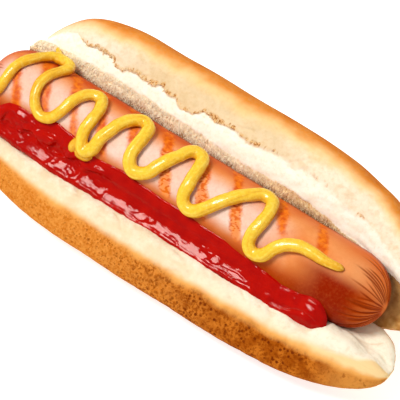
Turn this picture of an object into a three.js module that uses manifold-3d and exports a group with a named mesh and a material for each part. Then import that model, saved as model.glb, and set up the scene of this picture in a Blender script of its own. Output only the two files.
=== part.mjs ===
// A hot dog: a frankfurter in a soft bun that is slit along one side and opened, with a bead
// of ketchup along the front of the frankfurter and a zigzag of mustard on top of it.
//
// Millimetres, +Z up. X runs along the bun. The crown half of the bun stands at +Y and the
// heel half lies open at -Y. Both halves meet in the hinge, which rests on a small flat.

import * as THREE from 'three';
import { LoftGeometry } from 'three/addons/geometries/LoftGeometry.js';
import { mergeVertices } from 'three/addons/utils/BufferGeometryUtils.js';
import Module from 'manifold-3d';

// ---- Driving dimensions ----------------------------------------------------------------

const GAP = 0.3; // clearance between two pieces that touch

// The frankfurter: a straight round bar with domed ends.
const SAUSAGE = {
  left: -83,
  right: 65.2,
  radius: 12.5,
  axisHeight: 20,
  leftDome: 12.5,
  rightDome: 15,
  domePower: 2.1,
  swell: 0.15, // how much thicker and thinner the bar is in places
};

// Each half of the bun is one closed outline, drawn at the middle of the bun as [y, z]
// corners of a smooth curve, counterclockwise. Towards each end it shrinks to that end's
// core, a place inside the half, with a dome of the given length and bluntness.
const CROWN = {
  left: -78.4,
  right: 79.6,
  leftDome: 45,
  leftPower: 2.25,
  rightDome: 66,
  rightPower: 2,
  leftCore: [13, 21],
  rightCore: [10, 17],
  outline: [
    [-2, -1],
    [11, -0.5],
    [23.5, 3],
    [32.6, 10.5],
    [36.2, 20],
    [35.4, 28],
    [31.2, 34],
    [25, 35.8],
    [19.2, 32.6],
    [14.3, 28.4],
    [13.3, 24],
    [12.4, 17.5],
    [6, 10],
    [-3, 7.2],
    [-6, 3],
  ],
  bulges: [
    { x: -63, reach: 7, height: 0.8 },
    { x: -36, reach: 11, height: -0.7 },
    { x: 45, reach: 9, height: -0.5 },
  ],
};

const HEEL = {
  left: -80,
  right: 77.4,
  leftDome: 56,
  leftPower: 2.2,
  rightDome: 54,
  rightPower: 2.1,
  leftCore: [-14, 13],
  rightCore: [-15, 12.5],
  outline: [
    [-20, 0.9],
    [-10, -0.8],
    [2, -1],
    [6, 3],
    [3, 7],
    [-7, 8.6],
    [-14, 13.4],
    [-18.6, 18.6],
    [-22, 19.6],
    [-26.8, 17.4],
    [-31, 14.3],
    [-33.3, 10.6],
    [-31.6, 6.6],
    [-26.4, 3.2],
  ],
  bulges: [],
};

const BUN_LUMP = 0.4; // height of the bun's slow unevenness

// Past the frankfurter's right end the crown leans in over the groove, most at its rim.
const CROWN_LEAN = { reach: 3.6, fromX: 46, fromZ: 5, rimZ: 28 };

// The torn edge of the crown's crust: a ragged step along the corner numbered `corner`,
// where the crust stands proud of the soft crumb below it. Lengths round the outline are
// in corners.
const TORN_EDGE = {
  corner: 8,
  halfWidth: 0.07,
  wander: 0.33,
  proud: 0.35,
  recess: 0.75,
};

// The ketchup lies in the groove between the frankfurter and the heel. At its left end it
// is deeper and climbs the frankfurter. Both outlines have the same number of corners.
const KETCHUP = {
  left: -77,
  right: 54.6,
  dome: 6.5,
  domePower: 2.3,
  core: [-14, 18.4],
  lump: 0.5,
  rightOutline: [
    [-12.5, 10.5],
    [-8.5, 12],
    [-8.5, 20],
    [-11.2, 23.4],
    [-14.6, 23.7],
    [-17.8, 21.4],
    [-18.8, 18.2],
    [-16.8, 14.3],
  ],
  leftOutline: [
    [-12, 10.5],
    [-8, 12],
    [-6.4, 22],
    [-8.6, 29],
    [-12.8, 27.2],
    [-16, 23],
    [-17.3, 19],
    [-15.8, 14.2],
  ],
};

// The mustard: a bead laid in turns on top of the frankfurter. Each point of its path is
// [x, degrees from the top of the frankfurter towards the heel, lift off its skin].
const MUSTARD = {
  width: 4.3,
  height: 3.7,
  settle: 0.35, // how far the bead sinks onto the skin
  startDome: 2.4,
  tipDome: 7,
  swell: 0.09,
  path: [
    [-75, 56, 0], [-73.8, 37, 0], [-73.4, 12, 0], [-72, -11, 0], [-68.5, -30, 0.4],
    [-65.4, -47, 2.2], [-61.8, -42, 2], [-60.8, -23, 0.2], [-62, 0, 0], [-61.8, 26, 0],
    [-60, 46, 0.2], [-56, 43, 0.2], [-52.4, 18, 0], [-49.6, -7, 0], [-46, -22, 0],
    [-43.2, -15, 0], [-43.9, 10, 0], [-42.7, 38, 0], [-41.7, 54, 0.3], [-39.3, 56, 0.5],
    [-37.4, 40, 0], [-35.6, 8, 0], [-33, -13, 0], [-29.4, -23, 0], [-26, -14, 0],
    [-26.1, 10, 0], [-25, 37, 0], [-21.6, 45, 0], [-17.4, 28, 0], [-14.6, 1, 0],
    [-11.3, -20, 0], [-7.2, -23, 0], [-5.4, -4, 0], [-5.6, 20, 0], [-4.2, 42, 0],
    [-0.8, 49, 0], [3.6, 33, 0], [9, 3, 0], [13.6, -18, 0], [18, -24, 0],
    [21.2, -9, 0], [20.4, 18, 0], [20.8, 41, 0], [24.2, 52, 0], [28.6, 38, 0],
    [33, 17, 0], [39, 11, 0], [45.5, 11, 0], [50.8, 7, 0],
  ],
};

// The unevenness of soft and squeezed food, as sine waves along x: each has a length, a
// share of the height, and a phase in turns.
const SAUSAGE_WAVES = [{ length: 107, share: 1, phase: 0.16 }];
const TORN_WAVES = [
  { length: 39.6, share: 1, phase: 0.13 },
  { length: 19.5, share: 0.7, phase: 0 },
  { length: 88, share: 0.5, phase: 0.32 },
];
const MUSTARD_WAVES = [
  { length: 11.4, share: 5, phase: 0 },
  { length: 4.8, share: 4, phase: 0 },
];
const BUN_WAVELENGTH = 60;
const KETCHUP_WAVELENGTH = 37;

// Facets: points round each outline and stations along it.
const CROWN_STATIONS = 40;
const HEEL_STATIONS = 38;
const CORNER_STEPS = 2;
const SAUSAGE_SIDES = 30;
const SAUSAGE_STATIONS = 30;
const KETCHUP_STATIONS = 36;
const MUSTARD_SIDES = 8;
const MUSTARD_STATIONS = 112;

const FLOOR_BLOCK = 200; // side of the block that trims the bun flat at z = 0

// ---- Solids and booleans ---------------------------------------------------------------

const wasm = await Module();
wasm.setup();

// A closed geometry as a solid: only its positions, with the shared ones merged.
function solidFrom(geometry) {
  const positions = new THREE.BufferGeometry();
  positions.setAttribute('position', geometry.getAttribute('position').clone());
  positions.setIndex(geometry.index);
  const merged = mergeVertices(positions);
  const corners = Array.from(merged.index.array);
  const kept = [];
  for (let i = 0; i < corners.length; i += 3) {
    const [a, b, c] = corners.slice(i, i + 3);
    if (a !== b && b !== c && c !== a) kept.push(a, b, c);
  }
  return new wasm.Manifold(
    new wasm.Mesh({
      numProp: 3,
      vertProperties: merged.getAttribute('position').array,
      triVerts: new Uint32Array(kept),
    }),
  );
}

function geometryFrom(solid) {
  const mesh = solid.getMesh();
  const geometry = new THREE.BufferGeometry();
  geometry.setAttribute('position', new THREE.BufferAttribute(mesh.vertProperties, 3));
  geometry.setIndex(new THREE.BufferAttribute(mesh.triVerts, 1));
  return geometry;
}

function loft(sections) {
  return solidFrom(new LoftGeometry(sections, { capStart: true, capEnd: true }));
}

// ---- Shared forms ----------------------------------------------------------------------

// How full a body with a domed end is at this distance from the end: 0 at the end, 1 past
// the dome's length. A power of 2 gives an ellipse, and a larger one a blunter end.
function fullness(distance, domeLength, power) {
  const inward = THREE.MathUtils.clamp(1 - distance / domeLength, 0, 1);
  return (1 - inward ** power) ** (1 / power);
}

// Places along X from left to right, closer together near both ends.
function stations(left, right, count) {
  const middle = (left + right) / 2;
  const half = (right - left) / 2;
  const firstStep = 0.6; // the end section is a little way in, so it isn't a point
  return Array.from({ length: count }, (_, i) => {
    const turn = (Math.PI * (i + firstStep)) / (count - 1 + 2 * firstStep);
    return middle - half * Math.cos(turn);
  });
}

// The sum of sine waves at this place, between -1 and 1.
function ripple(place, waves) {
  let sum = 0;
  let shares = 0;
  for (const { length, share, phase } of waves) {
    sum += share * Math.sin(2 * Math.PI * (place / length + phase));
    shares += share;
  }
  return sum / shares;
}

// Slow lumps along x and round the section, between -1 and 1. `turn` goes from 0 to 1.
function lumps(x, wavelength, turn, phase) {
  const along = ripple(x, [
    { length: wavelength, share: 1, phase },
    { length: wavelength / 2, share: 0.6, phase: 2 * phase },
  ]);
  const round = Math.sin(2 * Math.PI * (2 * turn + x / (2 * wavelength) + phase));
  return (along + round) / 2;
}

// The smooth closed curve through [y, z] corners. Its parameter runs from 0 to 1, with the
// corner numbered i at i / corners.length.
function smoothOutline(corners) {
  const points = corners.map(([y, z]) => new THREE.Vector3(0, y, z));
  return new THREE.CatmullRomCurve3(points, true, 'centripetal');
}

// ---- The bun ---------------------------------------------------------------------------

// Where the crown's outline is sampled, in corner numbers, and how far each sample stands
// out. The torn edge takes two samples close together, one proud and one recessed.
function crownSamples(x) {
  const { corner, halfWidth, wander, proud, recess } = TORN_EDGE;
  const line = corner + wander * ripple(x, TORN_WAVES);
  const samples = [];
  for (let i = 0; i < CROWN.outline.length; i += 1) {
    if (i === corner) {
      samples.push({ at: line - halfWidth, out: proud });
      samples.push({ at: line + halfWidth, out: -recess });
      samples.push({ at: corner + 1 / CORNER_STEPS, out: -recess / 2 });
    } else {
      for (let step = 0; step < CORNER_STEPS; step += 1) {
        samples.push({ at: i + step / CORNER_STEPS, out: 0 });
      }
    }
  }
  return samples;
}

function heelSamples() {
  const count = HEEL.outline.length * CORNER_STEPS;
  return Array.from({ length: count }, (_, i) => ({ at: i / CORNER_STEPS, out: 0 }));
}

function bulge(x, bulges) {
  return bulges.reduce(
    (sum, { x: middle, reach, height }) => sum + height * Math.exp(-(((x - middle) / reach) ** 2)),
    0,
  );
}

// How far the crown leans towards the groove at this place.
function crownLean(x, z) {
  const { reach, fromX, fromZ, rimZ } = CROWN_LEAN;
  const height = Math.max(z - fromZ, 0) / (rimZ - fromZ);
  return reach * height * THREE.MathUtils.smoothstep(x, fromX, SAUSAGE.right);
}

// One half of the bun: its outline at each station, shrunk towards the core by the domes.
function bunHalf(half, stationCount, samplesAt, leanAt, phase) {
  const curve = smoothOutline(half.outline);
  return loft(
    stations(half.left, half.right, stationCount).map((x) => {
      const scale =
        fullness(x - half.left, half.leftDome, half.leftPower) *
        fullness(half.right - x, half.rightDome, half.rightPower);
      const along = (x - half.left) / (half.right - half.left);
      const coreY = THREE.MathUtils.lerp(half.leftCore[0], half.rightCore[0], along);
      const coreZ = THREE.MathUtils.lerp(half.leftCore[1], half.rightCore[1], along);
      return samplesAt(x).map(({ at, out }) => {
        const turn = at / half.outline.length;
        const point = curve.getPoint(turn);
        const tangent = curve.getTangent(turn);
        const lump = BUN_LUMP * lumps(x, BUN_WAVELENGTH, turn, phase);
        const offset = out + lump + bulge(x, half.bulges);
        const y = coreY + (point.y + tangent.z * offset - coreY) * scale;
        const z = coreZ + (point.z - tangent.y * offset - coreZ) * scale;
        return new THREE.Vector3(x, y - leanAt(x, z), z);
      });
    }),
  );
}

function floorBlock() {
  const block = new THREE.BoxGeometry(FLOOR_BLOCK, FLOOR_BLOCK, FLOOR_BLOCK);
  block.translate(0, 0, -FLOOR_BLOCK / 2);
  return solidFrom(block);
}

// ---- The frankfurter -------------------------------------------------------------------

function sausageRadius(x) {
  const { left, right, leftDome, rightDome, domePower, radius, swell } = SAUSAGE;
  const dome =
    fullness(x - left, leftDome, domePower) * fullness(right - x, rightDome, domePower);
  return dome * (radius + swell * ripple(x, SAUSAGE_WAVES));
}

// The bar with its skin moved out by `grow`.
function sausageBody(grow) {
  const { left, right, axisHeight } = SAUSAGE;
  return loft(
    stations(left - grow, right + grow, SAUSAGE_STATIONS).map((x) => {
      const inside = THREE.MathUtils.clamp(x, left + GAP, right - GAP);
      const radius = sausageRadius(inside) + grow;
      return Array.from({ length: SAUSAGE_SIDES }, (_, i) => {
        const turn = (2 * Math.PI * i) / SAUSAGE_SIDES;
        const y = radius * Math.cos(turn);
        return new THREE.Vector3(x, y, axisHeight + radius * Math.sin(turn));
      });
    }),
  );
}

// ---- The ketchup -----------------------------------------------------------------------

function ketchupBody(grow) {
  const { left, right, dome, domePower, core, lump, leftOutline, rightOutline } = KETCHUP;
  const phase = 0.64;
  const leftCurve = smoothOutline(leftOutline);
  const rightCurve = smoothOutline(rightOutline);
  const samples = rightOutline.length * CORNER_STEPS;
  return loft(
    stations(left - grow, right + grow, KETCHUP_STATIONS).map((x) => {
      const towardsLeft = THREE.MathUtils.clamp((right - x) / (right - left), 0, 1) ** 2;
      const scale =
        fullness(x - left + grow, dome, domePower) * fullness(right + grow - x, dome, domePower);
      return Array.from({ length: samples }, (_, i) => {
        const turn = i / samples;
        const point = rightCurve.getPoint(turn).lerp(leftCurve.getPoint(turn), towardsLeft);
        const tangent = rightCurve.getTangent(turn);
        tangent.lerp(leftCurve.getTangent(turn), towardsLeft);
        const offset = grow + lump * scale * lumps(x, KETCHUP_WAVELENGTH, turn, phase);
        const y = core[0] + (point.y - core[0]) * scale + tangent.z * offset;
        const z = core[1] + (point.z - core[1]) * scale - tangent.y * offset;
        return new THREE.Vector3(x, y, z);
      });
    }),
  );
}

// ---- The mustard -----------------------------------------------------------------------

// The bead's middle line: half its height above the skin, less a little where it settles.
function mustardLine() {
  const points = MUSTARD.path.map(([x, degrees, lift]) => {
    const turn = THREE.MathUtils.degToRad(degrees);
    const reach = sausageRadius(x) + MUSTARD.height / 2 - MUSTARD.settle + lift;
    const z = SAUSAGE.axisHeight + reach * Math.cos(turn);
    return new THREE.Vector3(x, -reach * Math.sin(turn), z);
  });
  return new THREE.CatmullRomCurve3(points, false, 'centripetal');
}

// The radius of the line's bend at a place, and the direction of the bend's centre.
function bendAt(line, share, length) {
  const travel = 0.7; // how far to each side of the place the line's direction is taken
  const straight = 1e-4; // the least turn, in radians, so that the radius stays finite
  const before = line.getTangentAt(Math.max(share - travel / length, 0));
  const after = line.getTangentAt(Math.min(share + travel / length, 1));
  const radius = (2 * travel) / Math.max(before.angleTo(after), straight);
  return { radius, towards: after.sub(before) };
}

// The bead with its skin moved out by `grow`. Inside a tight turn its section is narrowed,
// so that neighbouring sections don't cross.
function mustardBody(grow) {
  const line = mustardLine();
  const length = line.getLength();
  const firstStep = 0.08; // the end section is a little way in, so it isn't a point
  const innerReach = 0.8; // most of the bend's radius that the section may take
  const sections = [];
  for (let i = 0; i < MUSTARD_STATIONS; i += 1) {
    const share = (i + firstStep) / (MUSTARD_STATIONS - 1 + 2 * firstStep);
    const centre = line.getPointAt(share);
    const along = line.getTangentAt(share);
    const outward = new THREE.Vector3(0, centre.y, centre.z - SAUSAGE.axisHeight);
    outward.addScaledVector(along, -outward.dot(along)).normalize();
    const side = new THREE.Vector3().crossVectors(outward, along);
    const bend = bendAt(line, share, length);
    const full =
      fullness(share * length, MUSTARD.startDome, 2) *
      fullness((1 - share) * length, MUSTARD.tipDome, 2) *
      (1 + MUSTARD.swell * ripple(share * length, MUSTARD_WAVES));
    const halfWidth = (MUSTARD.width / 2) * full + grow;
    const halfHeight = (MUSTARD.height / 2) * full + grow;
    const section = [];
    for (let k = 0; k < MUSTARD_SIDES; k += 1) {
      const turn = (2 * Math.PI * k) / MUSTARD_SIDES;
      const reach = halfWidth * Math.cos(turn);
      const inner = Math.sign(reach) === Math.sign(bend.towards.dot(side));
      const limit = inner ? bend.radius * innerReach : Infinity;
      const clipped = Math.sign(reach) * Math.min(Math.abs(reach), limit);
      const point = centre.clone().addScaledVector(side, clipped);
      section.push(point.addScaledVector(outward, halfHeight * Math.sin(turn)));
    }
    sections.push(section);
  }
  return loft(sections);
}

// ---- Assembly --------------------------------------------------------------------------

const sausage = sausageBody(0);
const sausageRoom = sausageBody(GAP);
const mustard = mustardBody(0).subtract(sausageRoom);
const mustardRoom = mustardBody(GAP);
const ketchup = ketchupBody(0).subtract(sausageRoom).subtract(mustardRoom);
const crown = bunHalf(CROWN, CROWN_STATIONS, crownSamples, crownLean, 0);
const heel = bunHalf(HEEL, HEEL_STATIONS, heelSamples, () => 0, 0.3);
const bun = crown
  .add(heel)
  .subtract(floorBlock())
  .subtract(sausageRoom)
  .subtract(ketchupBody(GAP))
  .subtract(mustardRoom);

function piece(name, solid, color, roughness) {
  const material = new THREE.MeshStandardMaterial({ color, roughness, metalness: 0 });
  const mesh = new THREE.Mesh(geometryFrom(solid), material);
  mesh.name = name;
  return mesh;
}

const pieces = new THREE.Group();
pieces.add(
  piece('bun', bun, '#e3a55c', 0.75),
  piece('sausage', sausage, '#d98a5e', 0.4),
  piece('ketchup', ketchup, '#b8140a', 0.12),
  piece('mustard', mustard, '#e8bf2c', 0.25),
);

// The origin is at the middle of the footprint, on the surface that the bun rests on.
const extent = new THREE.Box3().setFromObject(pieces);
const middle = extent.getCenter(new THREE.Vector3());
pieces.position.set(-middle.x, -middle.y, 0);

const hotDog = new THREE.Group();
hotDog.add(pieces);

export default hotDog;
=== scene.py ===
"""A hot dog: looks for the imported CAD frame.

The frame is in metres, with +X along the bun, +Y towards the standing crown half and +Z up.
Shapes are worked out here in millimetres, in the same frame, and scaled when a mesh is made.
Angles on the frankfurter are in degrees from its top, and grow towards the front. Seeds of noise
are the last number of each call or of each (height, size, seed) layer.
"""
import math

import bmesh
import bpy
import numpy as np
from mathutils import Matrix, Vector
from mathutils.bvhtree import BVHTree
from mathutils.kdtree import KDTree


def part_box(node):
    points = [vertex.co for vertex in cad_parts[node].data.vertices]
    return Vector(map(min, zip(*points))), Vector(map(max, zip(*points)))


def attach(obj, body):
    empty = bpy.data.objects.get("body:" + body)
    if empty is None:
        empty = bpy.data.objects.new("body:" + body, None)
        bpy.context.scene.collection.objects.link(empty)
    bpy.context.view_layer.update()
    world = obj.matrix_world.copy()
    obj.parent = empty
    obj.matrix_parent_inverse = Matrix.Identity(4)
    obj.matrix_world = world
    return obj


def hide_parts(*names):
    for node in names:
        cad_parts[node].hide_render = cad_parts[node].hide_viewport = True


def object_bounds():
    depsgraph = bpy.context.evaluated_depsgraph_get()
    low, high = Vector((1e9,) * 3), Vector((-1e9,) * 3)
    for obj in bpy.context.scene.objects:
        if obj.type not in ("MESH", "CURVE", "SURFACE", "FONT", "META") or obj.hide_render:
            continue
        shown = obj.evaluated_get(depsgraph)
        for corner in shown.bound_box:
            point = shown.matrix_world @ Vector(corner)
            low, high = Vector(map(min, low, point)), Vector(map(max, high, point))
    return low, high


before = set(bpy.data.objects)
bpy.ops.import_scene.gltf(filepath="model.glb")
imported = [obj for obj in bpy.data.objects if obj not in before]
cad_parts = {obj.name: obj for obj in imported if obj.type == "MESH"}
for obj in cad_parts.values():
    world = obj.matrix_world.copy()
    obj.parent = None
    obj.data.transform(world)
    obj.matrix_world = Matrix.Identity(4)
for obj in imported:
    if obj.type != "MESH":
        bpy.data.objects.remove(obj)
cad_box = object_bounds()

# ---- Measures ----

MM = 0.001  # millimetres to metres
BODY = "root"

# The view. A pixel is named by its column and row in the picture, which is 400 x 400.
VIEW_AZIMUTH = 35.28
VIEW_ELEVATION = 60.0
VIEW_WIDTH = 0.124
CAMERA_DISTANCE = 2.0
IMAGE_PIXELS = 400
AIM = Vector((0.0013156, -0.0014648, 0.020))
AIM_PIXEL = (210.8, 202.4)

# The stage, in metres and watts. A light is (place, width, height, watts) and faces LIT_PLACE.
WORLD_LIGHT = 0.43
SOFTBOX = ((-0.475, -0.40, 1.474), 0.44, 0.44, 19.8)
FILL = ((0.15, 1.35, 1.5), 1.5, 1.2, 5.0)
LIT_PLACE = (0, 0, 0.02)
FLOOR_SIDE = 4000  # millimetres
FLOOR_GREY = (0.6, 0.6, 0.6, 1)
FLOOR_GLOW = 0.72

# The shift from the drawing of the bun and frankfurter to the frame, and the frankfurter's form.
ORIGIN = np.array([1.6715, -1.4648, 0.0])
SAUSAGE = {
    "left": -83.0,
    "right": 65.2,
    "radius": 12.5,
    "axis_height": 20.0,
    "left_dome": 12.5,
    "right_dome": 15.0,
    "dome_power": 2.1,
}

# The bun's halves, as in the solids. A dome is (length, power), a core and a corner (y, z), and a
# bulge (x of its middle, reach, height). Corners are numbered from 0 round the outline.
CROWN = {
    "left": -78.4,
    "right": 79.6,
    "left_dome": (45, 2.25),
    "right_dome": (66, 2),
    "left_core": (13, 21),
    "right_core": (10, 17),
    "outline": [
        (-2, -1), (11, -0.5), (23.5, 3), (32.6, 10.5), (36.2, 20), (35.4, 28), (31.2, 34), (25, 35.8),
        (19.2, 32.6), (14.3, 28.4), (13.3, 24), (12.4, 17.5), (6, 10), (-3, 7.2), (-6, 3),
    ],
    "bulges": [(-63, 7, 0.8), (-36, 11, -0.7), (45, 9, -0.5)],
    "lean": 3.6,
    "phase": 0.0,
}
HEEL = {
    "left": -80.0,
    "right": 77.4,
    "left_dome": (56, 2.2),
    "right_dome": (54, 2.1),
    "left_core": (-14, 13),
    "right_core": (-15, 12.5),
    "outline": [
        (-20, 0.9), (-10, -0.8), (2, -1), (6, 3), (3, 7), (-7, 8.6), (-14, 13.4), (-18.6, 18.6),
        (-22, 19.6), (-26.8, 17.4), (-31, 14.3), (-33.3, 10.6), (-31.6, 6.6), (-26.4, 3.2),
    ],
    "bulges": [],
    "lean": 0.0,
    "phase": 0.3,
}
BUN_LUMP = 0.4
BUN_WAVELENGTH = 60.0
LEAN_FROM = (46.0, 5.0)  # x and z where the crown starts to lean in
LEAN_RIM = 28.0  # z where it leans in by its whole lean
BUN_VOXEL = 1.0
CROWN_GRID = (260, 300)  # rows along the bun and columns round it
HEEL_GRID = (260, 280)
SNUG = (0.5, 1.0)  # further than this from the drawn halves, as at the hinge, there is no relief
INNER_CORNER = 13.8  # past this corner the crown's outline runs through the heel's bread

# Lines that run along the bun, as (x, corner number): the crust's torn edge, the rim over the cut
# wall, and where the heel's crust starts. The tear's depth and its flaky places follow the tear.
TEAR_LINE = [
    (-80, 7.2), (-65.7, 7.3), (-63.3, 7.5), (-60.8, 7.8), (-55.6, 7.9), (-51, 7.95), (-49.5, 8.3),
    (-42, 8.16), (-36, 8.28), (-32.8, 8.02), (-30.2, 8.28), (-26.5, 8.22), (-24.1, 8.42), (-19.4, 8.42),
    (-16.6, 8.06), (-5.8, 8.06), (-1.5, 8.18), (3.9, 8.1), (9.4, 7.94), (28, 7.95), (40, 8.25), (60, 8.3),
    (80, 8.2),
]
TEAR_DEPTH = [
    (-80, 0.0), (-68, 0.2), (-60, 0.7), (-50, 0.8), (-40, 0.6), (-30, 0.7), (-18, 0.8), (-2, 0.7), (8, 0.3),
    (28, 0.1), (36, 0.05), (43, 0.15), (50, 0.05), (80, 0.0),
]
FLAKY_PLACES = [  # (x of its middle, reach, how flaky)
    (-58, 5, 0.6), (-50.5, 2.5, 0.8), (-34, 8, 0.9), (-12, 10, 1.0), (7, 6, 0.7), (27, 5, 0.4), (43, 3, 0.6),
]
RIM_LINE = [
    (-80, 7.6), (-76.5, 8.14), (-73, 8.4), (-69, 8.55), (-60, 8.68), (-44, 8.8), (-20, 8.98), (0, 9.22),
    (10, 9.14), (20, 9.0), (30, 9.3), (40, 9.6), (50, 9.9), (58, 10.1), (80, 10.4),
]
CRUST_LINE = [
    (-80, 8.8), (-60, 8.85), (0, 8.85), (14, 8.75), (40, 8.6), (47, 8.55), (60, 8.1), (66, 7.6),
    (72, 6.4), (80, 5.4),
]
NOTCH_DEPTH = 2.6
HEEL_CREASE = [(61, 5.6), (63.2, 5.44), (66.7, 4.9), (69.4, 4.3)]

# Torn threads of crumb and flakes of crust: how many, their sizes from and to, and their spread in
# direction in radians. Each is drawn as three-sided rings, and its free end is lifted.
THREADS = {"count": 2800, "length": (0.7, 2.0), "width": (0.14, 0.3), "swing": 0.35}
FLAKES = {"count": 120, "length": (0.4, 1.1), "width": (0.25, 0.5), "swing": 0.9}
THREAD_LIFT = (0.1, 0.55)
THREAD_RINGS = 4

SAUSAGE_COLUMNS = 276
SAUSAGE_SPACING = 0.56  # between its rows, which stand closer over this length of each end
SAUSAGE_ENDS = (12, 17)
FOLDED_ENDS = [("right", 16.5, 52, 0.5), ("left", 8.0, 26, 0.35)]  # (end, longest, how many, depth)

# Grill marks: where each crosses the top of the frankfurter, how dark and how blistered it is, and
# the angle from the top where it ends in front.
GRILL_MARKS = [
    (-74, 0.9, 0.2, 60), (-63, 0.8, 0.2, 45), (-52, 0.8, 0.3, 50), (-41.5, 1, 0.4, 50),
    (-29.5, 0.9, 0.5, 50), (-17, 1, 0.9, 52), (-3, 1, 1, 52), (9.5, 1, 0.9, 50), (26.5, 0.9, 0.2, 12),
    (41.5, 0.8, 0.0, 6),
]
GRILL_SLANT = 0.122  # mm along x for each degree round the frankfurter
GRILL_WIDTH = 4.2

# Where the ketchup's film ends on the frankfurter, as (x, degrees from its top).
KETCHUP_EDGE = [
    (-78, 104), (-76, 84), (-73, 64), (-70, 54), (-66, 50), (-62, 52), (-56, 44), (-52, 42), (-46, 47),
    (-36, 57), (-27, 53), (-14, 57), (0, 60), (10, 62), (20, 68), (35, 77), (41.5, 75), (45, 68),
    (49, 67), (52, 74), (56, 88),
]
KETCHUP_ENDS = (-76.5, 53.4)
KETCHUP_SIDES = 132
# The last drops, as (x of its middle, reach, height), and the round bead's points there: how far
# out and down from the film's top, and how much of a drop's height each takes.
KETCHUP_BULBS = [(47.5, 3.8, 1.0), (41, 2.2, -0.45), (36.5, 2.6, 0.35)]
KETCHUP_BEAD = [
    (0.7, 0.15, 0), (1.5, 0.55, 0.25), (2.4, 1.1, 0.1), (3.4, 1.75, 0.35), (4.5, 2.5, 0.5), (5.5, 3.3, 0.3),
]
# The shelf's corners: y, how far a heap moves it in and a swell out, then z, how far a heap moves
# it up and a swell down.
KETCHUP_SHELF = [
    (-13.6, 0.25, 0, 22.4, 0.6, 0), (-14.6, 0.2, 0, 21.15, 1.3, 0), (-15.9, 0, 0.15, 20.4, 1.5, 0.06),
    (-17.4, 0, 0.4, 19.82, 1.5, 0.15), (-18.8, 0, 0.6, 19.3, 1.5, 0.21), (-19.15, -0.3, 0.5, 17.9, 1.0, 0),
]

# The mustard: how full the bead is at x, its path as (x, degrees, lift), and each strand as (path,
# width, height, dome at its start and at its end, seed). The zigzag thins out towards its end.
MUSTARD_TAPER = 0.34
MUSTARD_STEP = 0.4
MUSTARD_VOXEL = 0.3
MUSTARD_FULLNESS = [(-80, 0.78), (-58, 0.8), (-46, 0.9), (-28, 1.0), (28, 1.0), (40, 0.94)]
MUSTARD_PATH = [
    (-75.5, 54, 0), (-74.5, 38, 0), (-74.2, 24, 0), (-74, 9.5, 0), (-73, -4, 0), (-71, -18, 0),
    (-69, -32, 0.2), (-66.2, -44, 0.8), (-62.8, -45, 1), (-60.4, -36, 0.4), (-61.5, -23, 0), (-63.2, -7, 0),
    (-63.9, 8, 0), (-63.2, 24, 0), (-61.2, 38, 0), (-58.2, 45, 0.1), (-55, 40, 0), (-53, 26, 0),
    (-51.9, 9, 0), (-50.4, -6, 0), (-48, -17, 0), (-45, -18, 0), (-43.1, -4, 0), (-43, 15, 0),
    (-43.2, 30, 0), (-42.4, 45, 0), (-40.7, 55, 0.2), (-38.3, 48, 0), (-37.4, 30, 0), (-36, 15, 0),
    (-35, 2, 0), (-33.5, -9.5, 0), (-31.5, -19, 0), (-29.2, -23, 0), (-26.8, -16.5, 0), (-26, -1, 0),
    (-26.2, 15, 0), (-26.2, 27, 0), (-25.2, 36.5, 0), (-23, 43, 0), (-20.8, 41, 0), (-18.2, 33.5, 0),
    (-16.8, 22, 0), (-15, 8.5, 0), (-13.2, -5, 0), (-11.8, -18, 0), (-9.8, -25, 0), (-7, -20.5, 0),
    (-5.8, -7.5, 0), (-5.5, 7.5, 0), (-5.2, 21.5, 0), (-5, 34, 0), (-3.8, 44, 0), (-1.5, 48, 0),
    (0.8, 45, 0), (3.2, 35.5, 0), (5.5, 23.5, 0), (7.8, 11.5, 0), (10.2, -0.5, 0), (12.8, -11, 0),
    (15.8, -22, 0), (19.2, -20.5, 0), (21, -4.5, 0), (21, 15.5, 0), (20.4, 34, 0), (21, 46.5, 0),
    (23.5, 53, 0), (26.5, 48, 0), (28.8, 33, 0), (31.5, 21.5, 0), (35.2, 14.5, 0), (39.5, 12.5, 0),
    (44.5, 13, 0), (48.8, 10.5, 0), (51, 8, 0),
]
MUSTARD_BEAD = (MUSTARD_PATH, 4.4, 4.0, 2.4, 3.4, 60)
BLOB_PATH = [(-66.5, -40, 0.4), (-64.5, -44, 0.6), (-61.5, -42, 0.6), (-59.3, -35, 0.2)]
SPIKE_PATH = [(-65.5, -46, 1.0), (-66.8, -54, 1.8), (-68.2, -59, 2.8), (-69.4, -61, 3.8)]
LOBE_PATH = [(-42.6, 40, 0), (-43.8, 50, 0), (-44.6, 58, 0), (-44.4, 64, 0), (-43.4, 67, 0)]
FOOT_PATH = [(-43.6, 60, 0), (-42, 64, 0), (-39.6, 63, 0), (-37.6, 57, 0)]
MUSTARD_BITS = [
    (BLOB_PATH, 5.4, 4.4, 3, 3, 62),
    (SPIKE_PATH, 2.8, 2.2, 1, 3, 64),
    (LOBE_PATH, 3.4, 3.0, 3, 2.5, 66),
    (FOOT_PATH, 3.2, 2.8, 2.5, 2.5, 68),
]

# ---- Numbers ----


def rise(value, low, high):
    """0 up to low and 1 from high on, eased between them. Low may also be the higher number."""
    share = np.clip((value - low) / (high - low), 0, 1)
    return share * share * (3 - 2 * share)


def fade(value, low, high):
    """1 up to low and 0 from high on, eased between them."""
    return 1 - rise(value, low, high)


def hump(value, middle, reach):
    """1 at the middle, and nearly 0 from twice this reach on."""
    return np.exp(-(((value - middle) / reach) ** 2))


def unit(rows):
    """Each row as a direction."""
    return rows / np.linalg.norm(rows, axis=1, keepdims=True)


def follow(x, line):
    """The value at x of a line of (x, value) points."""
    places, values = zip(*line)
    return np.interp(x, places, values)


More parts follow.
